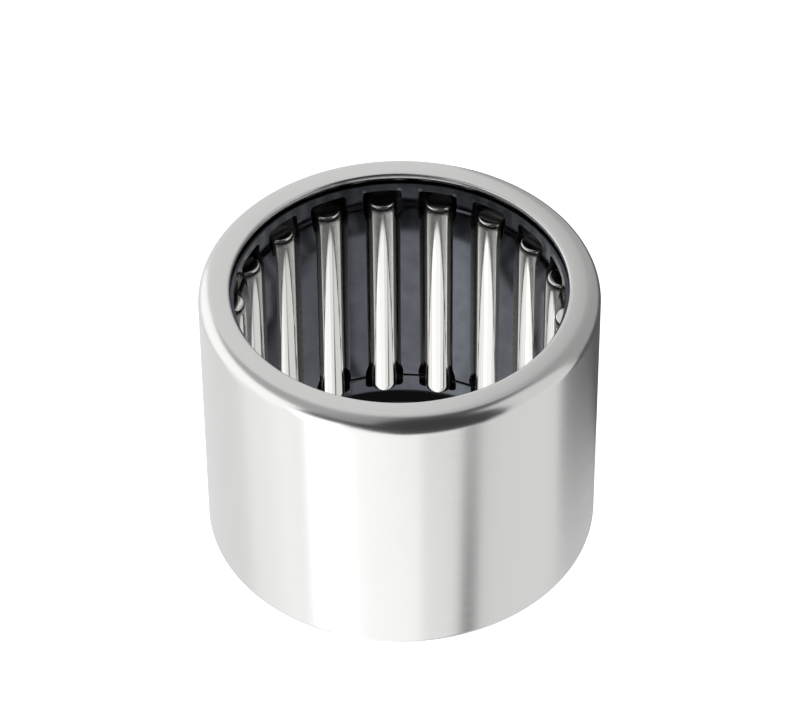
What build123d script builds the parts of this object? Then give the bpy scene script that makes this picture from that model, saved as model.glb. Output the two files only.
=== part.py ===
from build123d import *
from math import cos, radians, sin
import os

# Drawn-cup needle roller bearing, open at both ends, for a 20 mm shaft.
# Millimetres. +Z is the shaft axis and the origin is the middle of the bearing.

# Driving dimensions
bore_diameter = 20.0
outer_diameter = 26.0
bearing_width = 20.0
needle_count = 18
needle_diameter = 2.0
needle_length = 16.8
raceway_clearance = 0.02
needle_end_clearance = 0.04

# Cup: hardened sheet drawn to a tube, with a lip turned in at each end
lip_thickness = 0.42
lip_hole_diameter = 21.9
top_corner_radius = 1.0
bottom_corner_radius = 0.5
inner_corner_radius = 0.3
lip_edge_radius = 0.1

# Cage: one strip of sheet, rolled to a ring with its bars pressed in towards the shaft
sheet_thickness = 0.4
cage_length = 18.92
cage_end_play = 0.05
rim_inner_radius = 10.7
bar_inner_radius = 10.3
bar_straight_half = 5.2
lead_in_radius = 14.0
lead_in_angle = 9.5
step_radius = 0.5
step_angle = 30.0

# Cage pockets: one for each needle, with half-widths measured across the pocket
pocket_length = 17.78
pocket_mouth = 1.15
pocket_neck = 0.975
pocket_end_half = 1.3
pocket_corner_radius = 0.3
relief_start = 6.6
relief_full = 7.2

# Needle ends: a slight fall towards the end, a small rounded corner and a flat end
end_fall_radius = 2.4
end_fall_angle = 12.0
end_corner_radius = 0.14

# Values that follow from those above
needle_radius = needle_diameter / 2
pitch_radius = bore_diameter / 2 + needle_radius
raceway_radius = pitch_radius + needle_radius + raceway_clearance
cup_radius = outer_diameter / 2
half_width = bearing_width / 2
lip_hole_radius = lip_hole_diameter / 2
lip_inner_height = half_width - lip_thickness
cage_half = cage_length / 2
cage_middle = cage_half + cage_end_play - lip_inner_height
pocket_half = pocket_length / 2
needle_half = needle_length / 2
needle_middle = cage_middle - pocket_half + needle_half + needle_end_clearance
needle_spacing = 360 / needle_count
end_fall_height = end_fall_radius * sin(radians(end_fall_angle))
end_corner_height = end_corner_radius * (1 - sin(radians(end_fall_angle)))
shoulder_height = needle_half - end_fall_height - end_corner_height

os.makedirs("parts", exist_ok=True)


# The cup: outer wall, two turned-in lips and the raceway between them.
with BuildPart() as outer_cup:
    with BuildSketch(Plane.XZ):
        with BuildLine():
            Polyline(
                (lip_hole_radius, half_width),
                (cup_radius, half_width),
                (cup_radius, -half_width),
                (lip_hole_radius, -half_width),
                (lip_hole_radius, -lip_inner_height),
                (raceway_radius, -lip_inner_height),
                (raceway_radius, lip_inner_height),
                (lip_hole_radius, lip_inner_height),
                close=True,
            )
        make_face()
        corners = vertices().group_by(Axis.X)
        outer_corners = corners[-1].sort_by(Axis.Y)
        raceway_corners = corners[1]
        lip_corners = corners[0]
        fillet(outer_corners[-1], top_corner_radius)
        fillet(outer_corners[0], bottom_corner_radius)
        fillet(raceway_corners, inner_corner_radius)
        fillet(lip_corners, lip_edge_radius)
    revolve(axis=Axis.Z)


# One pocket, seen from the shaft: parallel along the bars, wider where the bars bend, with
# small rounded corners at its ends.
with BuildPart() as pocket_ends:
    with BuildSketch(Plane.YZ.offset(bar_inner_radius - sheet_thickness)):
        with BuildLine():
            Polyline(
                (0, relief_start),
                (pocket_mouth, relief_start),
                (pocket_end_half, relief_full),
                (pocket_end_half, pocket_half),
                (0, pocket_half),
                close=True,
            )
        make_face()
        fillet(vertices().group_by(Axis.Y)[-1].sort_by(Axis.X)[-1], pocket_corner_radius)
        mirror(about=Plane.YZ)
        mirror(about=Plane.XZ)
    extrude(amount=cup_radius - bar_inner_radius)

# Along the bars the pocket narrows away from the shaft, to a neck that a needle cannot pass.
with BuildPart() as pocket_middle:
    with BuildSketch(Plane.XY.offset(-relief_start)):
        with BuildLine():
            Polyline(
                (bar_inner_radius - sheet_thickness, 0),
                (bar_inner_radius - sheet_thickness, pocket_mouth),
                (bar_inner_radius, pocket_mouth),
                (bar_inner_radius + sheet_thickness, pocket_neck),
                (pitch_radius, pocket_end_half),
                (cup_radius, pocket_end_half),
                (cup_radius, 0),
                close=True,
            )
        make_face()
        mirror(about=Plane.XZ)
    extrude(amount=2 * relief_start)


# The cage: rims on the needles' centre circle and bars nearer the shaft. Each bar leans out
# gently at first, then steps out to the rim.
cage_section = Plane(origin=(0, 0, cage_middle), x_dir=(1, 0, 0), z_dir=(0, -1, 0))
bar_line = bar_inner_radius + sheet_thickness / 2
rim_line = rim_inner_radius + sheet_thickness / 2
lead_in_rise = lead_in_radius * (1 - cos(radians(lead_in_angle)))
step_rise = step_radius * (cos(radians(lead_in_angle)) - cos(radians(step_angle)))
last_rise = rim_line - bar_line - lead_in_rise - step_rise
last_radius = last_rise / (1 - cos(radians(step_angle)))

with BuildPart() as needle_cage:
    with BuildSketch(cage_section):
        with BuildLine():
            Line((bar_line, 0), (bar_line, bar_straight_half))
            lead_in = JernArc((bar_line, bar_straight_half), (0, 1), lead_in_radius, -lead_in_angle)
            step = JernArc(lead_in @ 1, lead_in % 1, step_radius, lead_in_angle - step_angle)
            last = JernArc(step @ 1, step % 1, last_radius, step_angle)
            Line(last @ 1, (rim_line, cage_half))
            mirror(about=Plane.XZ)
        trace(line_width=sheet_thickness)
    revolve(axis=Axis.Z)
    with Locations((0, 0, cage_middle)):
        with PolarLocations(0, needle_count):
            add(pocket_ends.part, mode=Mode.SUBTRACT)
            add(pocket_middle.part, mode=Mode.SUBTRACT)


# The needles: loose rollers, one in each pocket, lying at the pockets' low end.
needles = []
for number in range(needle_count):
    turn = Rotation(0, 0, number * needle_spacing)
    centre = (turn * Pos(pitch_radius, 0, needle_middle)).position
    with BuildPart() as needle:
        with BuildSketch(Plane(origin=centre, x_dir=(1, 0, 0), z_dir=(0, -1, 0))):
            with BuildLine():
                Line((needle_radius, 0), (needle_radius, shoulder_height))
                fall = JernArc((needle_radius, shoulder_height), (0, 1), end_fall_radius, end_fall_angle)
                corner = JernArc(fall @ 1, fall % 1, end_corner_radius, 90 - end_fall_angle)
                Line(corner @ 1, (0, needle_half))
                mirror(about=Plane.XZ)
                Line((0, needle_half), (0, -needle_half))
            make_face()
        revolve(axis=Axis(centre, (0, 0, 1)))
    needles.append(needle.part)


outer_cup.part.label = "outer_cup"
export_step(outer_cup.part, "parts/outer_cup.step")

needle_cage.part.label = "needle_cage"
export_step(needle_cage.part, "parts/needle_cage.step")

for number, roller in enumerate(needles, start=1):
    roller.label = f"needle_{number:02d}"
    export_step(roller, f"parts/needle_{number:02d}.step")
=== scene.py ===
import math

import bmesh
import bpy
from mathutils import Matrix, Vector


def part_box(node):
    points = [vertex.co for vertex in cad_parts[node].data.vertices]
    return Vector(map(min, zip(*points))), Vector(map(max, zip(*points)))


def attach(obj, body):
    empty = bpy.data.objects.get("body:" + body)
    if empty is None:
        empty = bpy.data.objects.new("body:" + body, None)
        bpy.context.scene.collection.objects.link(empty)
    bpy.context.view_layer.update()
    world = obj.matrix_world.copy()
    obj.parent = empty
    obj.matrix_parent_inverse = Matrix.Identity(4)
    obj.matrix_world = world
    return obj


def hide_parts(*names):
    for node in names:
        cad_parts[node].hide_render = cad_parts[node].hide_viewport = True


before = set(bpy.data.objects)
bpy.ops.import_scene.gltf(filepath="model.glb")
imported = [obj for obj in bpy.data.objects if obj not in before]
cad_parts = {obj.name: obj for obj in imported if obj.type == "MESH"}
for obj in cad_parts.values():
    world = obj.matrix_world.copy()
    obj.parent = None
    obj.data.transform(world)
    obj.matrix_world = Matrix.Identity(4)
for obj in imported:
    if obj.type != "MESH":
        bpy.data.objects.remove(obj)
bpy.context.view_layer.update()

MM = 0.001

# ---------------------------------------------------------------- sizes, read from the frame

cup_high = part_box("outer_cup")[1]
cage_low, cage_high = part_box("needle_cage")
first_low, first_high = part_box("needle_01")

needle_names = sorted(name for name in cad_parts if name.startswith(("needle_0", "needle_1")))
needle_count = len(needle_names)

CUP_RADIUS = cup_high.x
CUP_HALF = cup_high.z
NEEDLE_RADIUS = (first_high.y - first_low.y) / 2
NEEDLE_HALF = (first_high.z - first_low.z) / 2
NEEDLE_MIDDLE = (first_high.z + first_low.z) / 2
PITCH_RADIUS = (first_high.x + first_low.x) / 2
CAGE_HALF = (cage_high.z - cage_low.z) / 2
CAGE_MIDDLE = (cage_high.z + cage_low.z) / 2

# The cup's own sizes
LIP_THICKNESS = 0.42 * MM
LIP_HOLE_RADIUS = 10.95 * MM
RACEWAY_RADIUS = PITCH_RADIUS + NEEDLE_RADIUS + 0.02 * MM
TOP_CORNER = 1.0 * MM
BOTTOM_CORNER = 0.5 * MM
INNER_CORNER = 0.3 * MM
LIP_EDGE = 0.12 * MM
# Drawing leaves the top lip crowned: it falls by this many degrees on its way out to the corner
TOP_FALL_ANGLE = 3

# The cage's own sizes, half-widths measured across a pocket
SHEET = 0.4 * MM
BAR_RADIUS = 10.3 * MM
RIM_RADIUS = 10.7 * MM
BAR_STRAIGHT = 5.2 * MM
LEAD_IN_RADIUS = 14.0 * MM
LEAD_IN_ANGLE = math.radians(9.5)
STEP_RADIUS = 0.5 * MM
STEP_ANGLE = math.radians(30)
POCKET_HALF = 8.89 * MM
POCKET_MOUTH = 1.15 * MM
POCKET_NECK = 0.975 * MM
POCKET_END = 1.3 * MM
POCKET_CORNER = 0.3 * MM
RELIEF_START = 6.6 * MM
RELIEF_FULL = 7.2 * MM

# The needles' ends: a slight fall towards the end, a small rounded corner and a flat end
END_FALL_RADIUS = 1.25 * MM
END_FALL_ANGLE = 22
END_CORNER_RADIUS = 0.14 * MM

# Small enough not to be seen: it keeps stacked sheets apart, and tells a wall's faces from those beside it
HAIR = 0.001 * MM

# Where the camera stands, as angles from straight in front and from the floor
CAMERA_SIDE = math.radians(4.1)
CAMERA_HEIGHT = math.radians(43.55)
CAMERA_DISTANCE = 268 * MM


# ---------------------------------------------------------------- small tools

def linear(hex_colour):
    """An sRGB hex colour as linear red, green, blue and alpha."""
    channels = [int(hex_colour[i:i + 2], 16) / 255 for i in (1, 3, 5)]
    return tuple(c / 12.92 if c <= 0.04045 else ((c + 0.055) / 1.055) ** 2.4 for c in channels) + (1.0,)


def arc(centre, radius, start, end, steps):
    """Points on an arc in the radius-height plane, with angles in degrees."""
    points = []
    for i in range(steps + 1):
        a = math.radians(start + (end - start) * i / steps)
        points.append((centre[0] + radius * math.cos(a), centre[1] + radius * math.sin(a)))
    return points


def turned(name, outline, segments, closed):
    """A body of revolution about Z from an outline of (radius, height) points."""
    mesh = bmesh.new()
    rings = []
    for radius, height in outline:
        if radius < 1e-9:
            rings.append([mesh.verts.new((0, 0, height))])
        else:
            ring = []
            for i in range(segments):
                a = 2 * math.pi * i / segments
                ring.append(mesh.verts.new((radius * math.cos(a), radius * math.sin(a), height)))
            rings.append(ring)
    pairs = list(zip(rings, rings[1:]))
    if closed:
        pairs.append((rings[-1], rings[0]))
    for one, two in pairs:
        for i in range(segments):
            j = (i + 1) % segments
            corners = [one[i % len(one)], one[j % len(one)], two[j % len(two)], two[i % len(two)]]
            mesh.faces.new(list(dict.fromkeys(corners)))
    return finished(name, mesh)


def finished(name, mesh):
    """Makes the object of a bmesh, with its faces turned outwards and shaded smooth."""
    bmesh.ops.recalc_face_normals(mesh, faces=mesh.faces)
    for face in mesh.faces:
        face.smooth = True
    data = bpy.data.meshes.new(name)
    mesh.to_mesh(data)
    mesh.free()
    piece = bpy.data.objects.new(name, data)
    bpy.context.scene.collection.objects.link(piece)
    return piece


def node(tree, kind, settings=None, **links):
    """Adds a node: settings are its properties, links are its inputs, as values or sockets."""
    made = tree.nodes.new(kind)
    for key, value in (settings or {}).items():
        setattr(made, key, value)
    for key, value in links.items():
        socket = made.inputs[int(key[1:]) if key[0] == "i" and key[1:].isdigit() else key.replace("_", " ")]
        if isinstance(value, bpy.types.NodeSocket):
            tree.links.new(value, socket)
        else:
            socket.default_value = value
    return made


# ---------------------------------------------------------------- camera

def make_camera():
    """A long lens well above the bearing, so that the far half of the bore is seen."""
    lens_length = 182.6
    sensor_width = 36.0
    aim_rise = 2.33 * MM
    roll = math.radians(-0.46)
    back = Vector((
        math.sin(CAMERA_SIDE) * math.cos(CAMERA_HEIGHT),
        -math.cos(CAMERA_SIDE) * math.cos(CAMERA_HEIGHT),
        math.sin(CAMERA_HEIGHT),
    ))
    turn = (-back).to_track_quat("-Z", "Y")
    up = turn @ Vector((0, 1, 0))
    place = back * CAMERA_DISTANCE
    aimed = (up * aim_rise - place).to_track_quat("-Z", "Y").to_matrix()
    data = bpy.data.cameras.new("camera")
    data.lens = lens_length
    data.sensor_width = sensor_width
    data.clip_start = 0.01
    data.clip_end = 20.0
    camera = bpy.data.objects.new("camera", data)
    camera.matrix_world = Matrix.Translation(place) @ (aimed @ Matrix.Rotation(roll, 3, "Z")).to_4x4()
    bpy.context.scene.collection.objects.link(camera)
    bpy.context.scene.camera = camera


# ---------------------------------------------------------------- cup

def make_cup():
    """The drawn cup, from the edge of the top lip round the outside to the raceway."""
    lip_inner = CUP_HALF - LIP_THICKNESS
    edge = LIP_HOLE_RADIUS + LIP_EDGE
    edge_steps = 5
    inner_steps = 6
    outline = arc((edge, lip_inner + LIP_EDGE), LIP_EDGE, 270, 180, edge_steps)
    outline += arc((edge, CUP_HALF - LIP_EDGE), LIP_EDGE, 180, 90, edge_steps)
    fall = math.radians(TOP_FALL_ANGLE)
    corner_start = CUP_RADIUS - TOP_CORNER + TOP_CORNER * math.sin(fall)
    crown_radius = (corner_start - edge) / math.sin(fall)
    corner_middle = CUP_HALF - crown_radius * (1 - math.cos(fall)) - TOP_CORNER * math.cos(fall)
    outline += arc((edge, CUP_HALF - crown_radius), crown_radius, 90, 90 - TOP_FALL_ANGLE, inner_steps)[1:]
    outline += arc((CUP_RADIUS - TOP_CORNER, corner_middle), TOP_CORNER, 90 - TOP_FALL_ANGLE, 0, 20)[1:]
    outline += arc((CUP_RADIUS - BOTTOM_CORNER, BOTTOM_CORNER - CUP_HALF), BOTTOM_CORNER, 0, -90, 12)
    outline += arc((edge, LIP_EDGE - CUP_HALF), LIP_EDGE, 270, 180, edge_steps)
    outline += arc((edge, -lip_inner - LIP_EDGE), LIP_EDGE, 180, 90, edge_steps)
    inner_middle = RACEWAY_RADIUS - INNER_CORNER
    outline += arc((inner_middle, INNER_CORNER - lip_inner), INNER_CORNER, 270, 360, inner_steps)
    outline += arc((inner_middle, lip_inner - INNER_CORNER), INNER_CORNER, 0, 90, inner_steps)
    cup_segments = 512
    cup = turned("cup", outline, cup_segments, True)
    # The raceway faces take the second material, whose dark colour is painted shade
    for face in cup.data.polygons:
        across = math.hypot(face.center.x, face.center.y)
        face.material_index = int(across < RACEWAY_RADIUS + HAIR and abs(face.center.z) < lip_inner + HAIR)
    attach(cup, "cup")
    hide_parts("outer_cup")
    return cup


# ---------------------------------------------------------------- cage

def sheet_line(height):
    """Middle of the sheet at a height from the cage's middle: its radius, and its lean from upright."""
    lead_in_height = LEAD_IN_RADIUS * math.sin(LEAD_IN_ANGLE)
    lead_in_rise = LEAD_IN_RADIUS * (1 - math.cos(LEAD_IN_ANGLE))
    step_height = STEP_RADIUS * (math.sin(STEP_ANGLE) - math.sin(LEAD_IN_ANGLE))
    step_rise = STEP_RADIUS * (math.cos(LEAD_IN_ANGLE) - math.cos(STEP_ANGLE))
    last_rise = RIM_RADIUS - BAR_RADIUS - lead_in_rise - step_rise
    last_radius = last_rise / (1 - math.cos(STEP_ANGLE))
    bend_height = lead_in_height + step_height + last_radius * math.sin(STEP_ANGLE)
    along = abs(height) - BAR_STRAIGHT
    if along <= 0:
        radius, lean = BAR_RADIUS, 0.0
    elif along <= lead_in_height:
        lean = math.asin(along / LEAD_IN_RADIUS)
        radius = BAR_RADIUS + LEAD_IN_RADIUS * (1 - math.cos(lean))
    elif along <= lead_in_height + step_height:
        lean = math.asin(math.sin(LEAD_IN_ANGLE) + (along - lead_in_height) / STEP_RADIUS)
        radius = BAR_RADIUS + lead_in_rise + STEP_RADIUS * (math.cos(LEAD_IN_ANGLE) - math.cos(lean))
    elif along <= bend_height:
        lean = math.asin((bend_height - along) / last_radius)
        radius = RIM_RADIUS - last_radius * (1 - math.cos(lean))
    else:
        radius, lean = RIM_RADIUS, 0.0
    return radius + SHEET / 2, math.copysign(lean, height)


def between(value, low, high, start, end):
    """start below low, end above high, and a straight change between them."""
    share = min(max((value - low) / (high - low), 0), 1)
    return start + (end - start) * share


def pocket_half_width(height, side):
    """Half the pocket's width at a height: side 0 is the face towards the shaft, 1 the face away from it."""
    h = abs(height)
    corner_start = POCKET_HALF - POCKET_CORNER
    if h >= corner_start:
        drop = min(h - corner_start, POCKET_CORNER)
        return POCKET_END - POCKET_CORNER + math.sqrt(max(POCKET_CORNER ** 2 - drop ** 2, 0))
    return between(h, RELIEF_START, RELIEF_FULL, (POCKET_MOUTH, POCKET_NECK)[side], POCKET_END)


def cage_heights():
    """The heights of the cage mesh's rows, closer together where the bars bend and the pockets end."""
    corner_start = POCKET_HALF - POCKET_CORNER
    heights = [0.0, 2 * MM, 4 * MM, BAR_STRAIGHT]
    bend_steps = 36
    for i in range(1, bend_steps):
        heights.append(BAR_STRAIGHT + (corner_start - BAR_STRAIGHT) * i / bend_steps)
    heights += [RELIEF_START, RELIEF_FULL]
    corner_steps = 8
    for i in range(corner_steps + 1):
        heights.append(corner_start + POCKET_CORNER * math.sin(math.pi / 2 * i / corner_steps))
    heights += [(POCKET_HALF + CAGE_HALF) / 2, CAGE_HALF]
    above = sorted(set(round(h, 7) for h in heights))
    return [-h for h in reversed(above) if h > 0] + above


def make_cage():
    """The pressed sheet cage: an inner and an outer face, with a pocket for each needle."""
    bar_columns = 5
    end_columns = 8
    heights = cage_heights()
    sector = 2 * math.pi / needle_count
    pocket_top = round(POCKET_HALF, 7)
    mesh = bmesh.new()
    faces_of_sheet = []
    for side in (0, 1):
        grid = {}
        for row, height in enumerate(heights):
            middle, lean = sheet_line(height)
            reach = SHEET / 2 * (1, -1)[1 - side]
            radius = middle + reach * math.cos(lean)
            z = CAGE_MIDDLE + height - reach * math.sin(lean)
            half = math.asin(pocket_half_width(height, side) / radius)
            end_half = half if abs(height) < pocket_top else math.asin((POCKET_END - POCKET_CORNER) / radius)
            for pocket in range(needle_count):
                angles = []
                for i in range(bar_columns + 1):
                    angles.append(-sector / 2 + (sector / 2 - end_half) * i / bar_columns)
                for i in range(1, end_columns):
                    angles.append(-end_half + 2 * end_half * i / end_columns)
                for i in range(bar_columns):
                    angles.append(end_half + (sector / 2 - end_half) * i / bar_columns)
                for column, angle in enumerate(angles):
                    inside = bar_columns < column < bar_columns + end_columns
                    if inside and abs(height) < pocket_top:
                        continue
                    a = pocket * sector + angle
                    grid[row, pocket * len(angles) + column] = mesh.verts.new(
                        (radius * math.cos(a), radius * math.sin(a), z))
        faces_of_sheet.append(grid)
    inner, outer = faces_of_sheet
    width = needle_count * (2 * bar_columns + end_columns)
    edges = {}
    for row in range(len(heights) - 1):
        for column in range(width):
            corners = [(row, column), (row, (column + 1) % width),
                       (row + 1, (column + 1) % width), (row + 1, column)]
            in_pocket = bar_columns <= column % (width // needle_count) < bar_columns + end_columns
            if in_pocket and max(abs(heights[row]), abs(heights[row + 1])) <= pocket_top:
                continue
            mesh.faces.new([inner[c] for c in corners])
            mesh.faces.new([outer[c] for c in reversed(corners)])
            for one, two in zip(corners, corners[1:] + corners[:1]):
                edges[one, two] = edges.get((one, two), 0) + 1
    for one, two in edges:
        if (two, one) not in edges:
            edge_face = mesh.faces.new([inner[two], inner[one], outer[one], outer[two]])
            edge_face.material_index = int(0 < one[0] < len(heights) - 1 or 0 < two[0] < len(heights) - 1)
    cage = finished("cage", mesh)
    rounding = cage.modifiers.new("deburred edges", "BEVEL")
    rounding.width = 0.06 * MM
    rounding.segments = 3
    rounding.limit_method = "ANGLE"
    rounding.angle_limit = math.radians(50)
    rounding.harden_normals = True
    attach(cage, "cage")
    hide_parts("needle_cage")
    return cage


# ---------------------------------------------------------------- needles

def make_needles():
    """One turned roller for each pocket. Its ends are flat, with a small rounded corner and a slight fall."""
    fall_sine, fall_cosine = math.sin(math.radians(END_FALL_ANGLE)), math.cos(math.radians(END_FALL_ANGLE))
    shoulder = NEEDLE_HALF - END_FALL_RADIUS * fall_sine - END_CORNER_RADIUS * (1 - fall_sine)
    flat = NEEDLE_RADIUS - END_FALL_RADIUS * (1 - fall_cosine) - END_CORNER_RADIUS * fall_cosine
    upper = [(0.0, NEEDLE_HALF), (flat * 0.5, NEEDLE_HALF)]
    upper += arc((flat, NEEDLE_HALF - END_CORNER_RADIUS), END_CORNER_RADIUS, 90, END_FALL_ANGLE, 8)
    upper += arc((NEEDLE_RADIUS - END_FALL_RADIUS, shoulder), END_FALL_RADIUS, END_FALL_ANGLE, 0, 6)[1:]
    outline = upper + [(NEEDLE_RADIUS, 0.0)] + [(radius, -height) for radius, height in reversed(upper)]
    needle_segments = 96
    needles = []
    for name in needle_names:
        low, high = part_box(name)
        middle = (low + high) / 2
        needle = turned("roller_" + name[-2:], outline, needle_segments, False)
        needle.location = middle
        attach(needle, name)
        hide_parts(name)
        needles.append(needle)
    return needles


# ---------------------------------------------------------------- materials

def new_material(name):
    material = bpy.data.materials.new(name)
    material.use_nodes = True
    material.node_tree.nodes.clear()
    return material, material.node_tree


def turning_lines(tree, across, around):
    """Coordinates for marks that run round the axis: across and around are a mark's sizes in metres."""
    place = node(tree, "ShaderNodeTexCoord").outputs["Object"]
    split = node(tree, "ShaderNodeSeparateXYZ", Vector=place)
    x, y, z = split.outputs
    angle = node(tree, "ShaderNodeMath", {"operation": "ARCTAN2"}, i0=y, i1=x).outputs[0]
    square = node(tree, "ShaderNodeMath", {"operation": "MULTIPLY"}, i0=x, i1=x).outputs[0]
    square = node(tree, "ShaderNodeMath", {"operation": "MULTIPLY_ADD"}, i0=y, i1=y, i2=square).outputs[0]
    radius = node(tree, "ShaderNodeMath", {"operation": "SQRT"}, i0=square).outputs[0]
    turns = CUP_RADIUS / around
    along = node(tree, "ShaderNodeMath", {"operation": "MULTIPLY"}, i0=angle, i1=turns).outputs[0]
    depth = node(tree, "ShaderNodeMath", {"operation": "DIVIDE"}, i0=radius, i1=across).outputs[0]
    height = node(tree, "ShaderNodeMath", {"operation": "DIVIDE"}, i0=z, i1=across).outputs[0]
    return node(tree, "ShaderNodeCombineXYZ", i0=along, i1=depth, i2=height).outputs[0]


def ground_steel():
    """Hardened bearing steel, ground round its axis: its fine marks stretch reflections along the axis."""
    material, tree = new_material("ground hardened steel")
    lines = turning_lines(tree, 0.05 * MM, 6 * MM)
    fine = node(tree, "ShaderNodeTexNoise", i0=lines, Scale=1.0, Detail=3.0, Roughness=0.6).outputs[0]
    rough = node(tree, "ShaderNodeMapRange", i0=fine, i1=0.3, i2=0.7, i3=0.2, i4=0.27).outputs[0]
    bump = node(tree, "ShaderNodeBump", Strength=0.15, Distance=0.002 * MM, Height=fine).outputs[0]
    tangent = node(tree, "ShaderNodeTangent", {"direction_type": "RADIAL", "axis": "Z"}).outputs[0]
    shader = node(tree, "ShaderNodeBsdfPrincipled", Base_Color=linear("#e0e0df"), Metallic=1.0,
                  Roughness=rough, Anisotropic=0.6, Anisotropic_Rotation=0.25, Normal=bump, Tangent=tangent)
    node(tree, "ShaderNodeOutputMaterial", Surface=shader.outputs[0])
    return material


def sheared_edge():
    """The pockets' sheared edges: torn, blackened and oily, so that each pocket has a dark outline."""
    material, tree = new_material("sheared pocket edge")
    place = node(tree, "ShaderNodeTexCoord").outputs["Object"]
    tear_size = 0.12 * MM
    tear = node(tree, "ShaderNodeTexNoise", i0=place, Scale=1 / tear_size, Detail=3.0).outputs[0]
    rough = node(tree, "ShaderNodeMapRange", i0=tear, i1=0.3, i2=0.7, i3=0.3, i4=0.5).outputs[0]
    colour = node(tree, "ShaderNodeMapRange", i0=tear, i1=0.3, i2=0.75, i3=0.08, i4=0.18).outputs[0]
    bump = node(tree, "ShaderNodeBump", Strength=0.4, Distance=0.01 * MM, Height=tear).outputs[0]
    shader = node(tree, "ShaderNodeBsdfPrincipled", Base_Color=colour, Metallic=1.0,
                  Roughness=rough, Normal=bump)
    node(tree, "ShaderNodeOutputMaterial", Surface=shader.outputs[0])
    return material


def raceway_painted_shade():
    """The same steel inside, hardened, with its colour painted dark as shade for the recess between the lips.
    """
    material, tree = new_material("raceway steel with painted shade")
    lines = turning_lines(tree, 0.05 * MM, 6 * MM)
    fine = node(tree, "ShaderNodeTexNoise", i0=lines, Scale=1.0, Detail=3.0, Roughness=0.6).outputs[0]
    rough = node(tree, "ShaderNodeMapRange", i0=fine, i1=0.3, i2=0.7, i3=0.25, i4=0.35).outputs[0]
    # Painted shade: the raceway's steel is kept this dark to stand for the shade inside the cup
    colour = node(tree, "ShaderNodeMapRange", i0=fine, i1=0.3, i2=0.7, i3=0.12, i4=0.2).outputs[0]
    shader = node(tree, "ShaderNodeBsdfPrincipled", Base_Color=colour, Metallic=1.0, Roughness=rough)
    node(tree, "ShaderNodeOutputMaterial", Surface=shader.outputs[0])
    return material


def blackened_strip():
    """Cold-rolled steel strip with a blue-black oxide finish: dark, satin, a little cloudy."""
    material, tree = new_material("blackened steel strip")
    place = node(tree, "ShaderNodeTexCoord").outputs["Object"]
    cloud_size = 1.5 * MM
    grain_size = 0.08 * MM
    cloud = node(tree, "ShaderNodeTexNoise", i0=place, Scale=1 / cloud_size, Detail=4.0,
                 Roughness=0.6).outputs[0]
    grain = node(tree, "ShaderNodeTexNoise", i0=place, Scale=1 / grain_size, Detail=2.0).outputs[0]
    colour = node(tree, "ShaderNodeValToRGB", Fac=cloud)
    colour.color_ramp.elements[0].position = 0.3
    colour.color_ramp.elements[0].color = linear("#494c52")
    colour.color_ramp.elements[1].position = 0.7
    colour.color_ramp.elements[1].color = linear("#585b61")
    rough = node(tree, "ShaderNodeMapRange", i0=grain, i1=0.3, i2=0.7, i3=0.14, i4=0.19).outputs[0]
    bump = node(tree, "ShaderNodeBump", Strength=0.2, Distance=0.002 * MM, Height=grain).outputs[0]
    shader = node(tree, "ShaderNodeBsdfPrincipled", Base_Color=colour.outputs[0], Metallic=1.0,
                  Roughness=rough, Normal=bump)
    node(tree, "ShaderNodeOutputMaterial", Surface=shader.outputs[0])
    return material


def polished_roller_steel():
    """Through-hardened roller steel, finely ground and polished: bright, with the faintest round marks."""
    material, tree = new_material("polished roller steel")
    lines = turning_lines(tree, 0.04 * MM, 4 * MM)
    fine = node(tree, "ShaderNodeTexNoise", i0=lines, Scale=1.0, Detail=2.0).outputs[0]
    rough = node(tree, "ShaderNodeMapRange", i0=fine, i1=0.3, i2=0.7, i3=0.09, i4=0.13).outputs[0]
    bump = node(tree, "ShaderNodeBump", Strength=0.1, Distance=0.001 * MM, Height=fine).outputs[0]
    shader = node(tree, "ShaderNodeBsdfPrincipled", Base_Color=linear("#dededb"), Metallic=1.0,
                  Roughness=rough, Normal=bump)
    node(tree, "ShaderNodeOutputMaterial", Surface=shader.outputs[0])
    return material


def painted_shade_card():
    """Matt grey card: painted shade for the part of the table under the bore."""
    material, tree = new_material("painted shade grey card")
    # Grey instead of the table's white: painted shade
    shader = node(tree, "ShaderNodeBsdfPrincipled", Base_Color=linear("#808080"), Roughness=0.9)
    node(tree, "ShaderNodeOutputMaterial", Surface=shader.outputs[0])
    return material


def opal_sheet():
    """Opal acrylic sheet, lit from below: an even white with hardly a shadow."""
    material, tree = new_material("opal acrylic sheet")
    place = node(tree, "ShaderNodeTexCoord").outputs["Object"]
    tooth_size = 0.6 * MM
    tooth = node(tree, "ShaderNodeTexNoise", i0=place, Scale=1 / tooth_size, Detail=3.0).outputs[0]
    bump = node(tree, "ShaderNodeBump", Strength=0.1, Distance=0.01 * MM, Height=tooth).outputs[0]
    shader = node(tree, "ShaderNodeBsdfPrincipled", Base_Color=linear("#f7f7f7"), Roughness=0.9, Normal=bump,
                  Emission_Color=linear("#ffffff"), Emission_Strength=0.9)
    node(tree, "ShaderNodeOutputMaterial", Surface=shader.outputs[0])
    return material


def glow(name, brightness):
    """A softbox face, a black card, or a near-black ring of painted shade: even light of one brightness."""
    material, tree = new_material(name)
    light = node(tree, "ShaderNodeEmission", Color=linear("#ffffff"), Strength=brightness)
    node(tree, "ShaderNodeOutputMaterial", Surface=light.outputs[0])
    return material


# ---------------------------------------------------------------- studio

STUDIO_RADIUS = 0.7
FLOOR_HALF = 3.0
SHADE_RADIUS = LIP_HOLE_RADIUS + 0.6 * MM
DEEP_SHADE_INNER_RADIUS = 10.1 * MM
SHEET_SEGMENTS = 96


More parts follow.
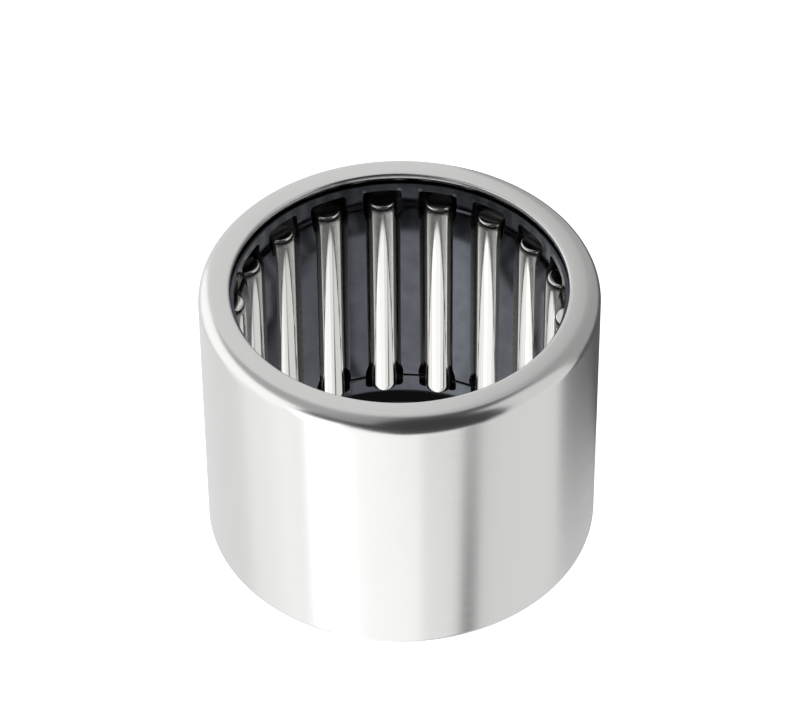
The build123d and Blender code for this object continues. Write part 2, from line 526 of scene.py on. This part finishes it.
def make_floor():
    """The table's sheet, with painted shade under the bore: a grey disc, and a near-black ring close to the
    foot of the wall where the painted shade is darkest. The sheet and its grey disc are kept out of
    reflections, so the steel mirrors the low cards instead and shows its round form."""
    mesh = bmesh.new()
    bmesh.ops.create_grid(mesh, x_segments=8, y_segments=8, size=FLOOR_HALF)
    floor = finished("floor", mesh)
    floor.location.z = -CUP_HALF - 3 * HAIR
    floor.data.materials.append(opal_sheet())
    shade = turned("painted_shade_in_bore", [(0.0, 0.0), (SHADE_RADIUS, 0.0)], SHEET_SEGMENTS, False)
    shade.location.z = -CUP_HALF - 2 * HAIR
    shade.data.materials.append(painted_shade_card())
    for sheet in (floor, shade):
        sheet.visible_glossy = False
        sheet.visible_shadow = False
    foot_outline = [(DEEP_SHADE_INNER_RADIUS, 0.0), (SHADE_RADIUS, 0.0)]
    foot = turned("painted_shade_at_wall_foot", foot_outline, SHEET_SEGMENTS, False)
    foot.location.z = -CUP_HALF - HAIR
    # A near-black glow, seen by the camera and in reflections: painted shade at the foot of the wall
    foot.data.materials.append(glow("painted deep shade", 0.005))


def make_panel(name, left, right, low, high, brightness, low_slant=0, high_slant=0):
    """A curved card round the bearing. Angles are in degrees: left and right from the camera's side, positive
    to the right, and low and high above the floor. A slant is how much higher an edge is at its left end."""
    mesh = bmesh.new()
    columns = max(2, int((right - left) / 4))
    rows = max(2, int((high - low) / 6))
    grid = []
    for i in range(columns + 1):
        side = math.radians(left + (right - left) * i / columns)
        slant = 1 - i / columns
        bottom = low + low_slant * slant
        top = high + high_slant * slant
        line = []
        for j in range(rows + 1):
            height = math.radians(bottom + (top - bottom) * j / rows)
            turn = side + CAMERA_SIDE
            line.append(mesh.verts.new((
                STUDIO_RADIUS * math.sin(turn) * math.cos(height),
                -STUDIO_RADIUS * math.cos(turn) * math.cos(height),
                STUDIO_RADIUS * math.sin(height),
            )))
        grid.append(line)
    for i in range(columns):
        for j in range(rows):
            mesh.faces.new([grid[i][j], grid[i + 1][j], grid[i + 1][j + 1], grid[i][j + 1]])
    panel = finished(name, mesh)
    panel.visible_camera = False
    panel.data.materials.append(glow(name + " face", brightness))


def make_studio():
    """Soft light from curved cards all round. The upright faces mirror the low ring, a pale run broken by one
    dark stripe. The rounded corner mirrors the dark front ones and the top lip mirrors the back ones."""
    dark_edge = -27
    left_rise = 42
    for card in (
        ("low_left_back", -180, -100, -89, -10, 0.86),
        ("low_left", -100, -76, -89, -10, 1.07),
        ("low_left_edge", -76, -62, -89, -10, 1.18),
        ("low_left_dip", -62, -54, -89, -10, 1.0),
        ("low_left_front", -54, -30, -89, dark_edge + left_rise, 1.8),
        ("low_front_left", -30, 0, -89, dark_edge, 1.28, 0, left_rise),
        ("low_front", 0, 12, -89, dark_edge, 1.28),
        ("low_right_front", 12, 36, -89, dark_edge, 1.02),
        ("low_flag_top", 36, 46, -44, dark_edge, 0.6),
        ("low_flag", 36, 46, -89, -44, 0.1),
        ("low_right", 46, 100, -89, -10, 0.85),
        ("low_right_back", 100, 180, -89, -44, 0.8),
        ("low_right_flag", 102, 175, -44, -10, 0.1),
        ("left_softbox", -145, -54, -10, 40, 1.28),
        ("left_grey", -145, -54, 40, 76, 0.45),
        ("front_dark_left", -54, -30, dark_edge + left_rise, 40, 0.06),
        ("front_dark_slope", -30, 0, dark_edge, 40, 0.06, left_rise, 0),
        ("front_grey_left", -54, -15, 40, 76, 0.35),
        ("front_dark", -15, 54, 40, 76, 0.05),
        ("front_dark_right", 0, 54, dark_edge, 40, 0.05),
        ("right_softbox", 54, 95, -10, 60, 0.8),
        ("right_dim", 95, 145, -10, 60, 0.4),
        ("back_right", 145, 174, -10, 60, 0.45),
        ("back", 174, 215, -10, 60, 0.81),
        ("overhead", 130, 215, 60, 76, 0.65),
        ("overhead_dark", 54, 130, 60, 76, 0.1),
        ("zenith_grey", 200, 345, 76, 90, 0.4),
        ("zenith_dark", -15, 200, 76, 90, 0.08),
    ):
        make_panel(*card)
    world = bpy.data.worlds.new("pale room")
    world.use_nodes = True
    world.node_tree.nodes["Background"].inputs["Color"].default_value = linear("#ffffff")
    world.node_tree.nodes["Background"].inputs["Strength"].default_value = 0.8
    bpy.context.scene.world = world


make_camera()
cup = make_cup()
cage = make_cage()
needles = make_needles()
cup.data.materials.append(ground_steel())
cup.data.materials.append(raceway_painted_shade())
cage.data.materials.append(blackened_strip())
cage.data.materials.append(sheared_edge())
roller_steel = polished_roller_steel()
for needle in needles:
    needle.data.materials.append(roller_steel)
make_floor()
make_studio()
bpy.context.scene.view_settings.view_transform = "Standard"
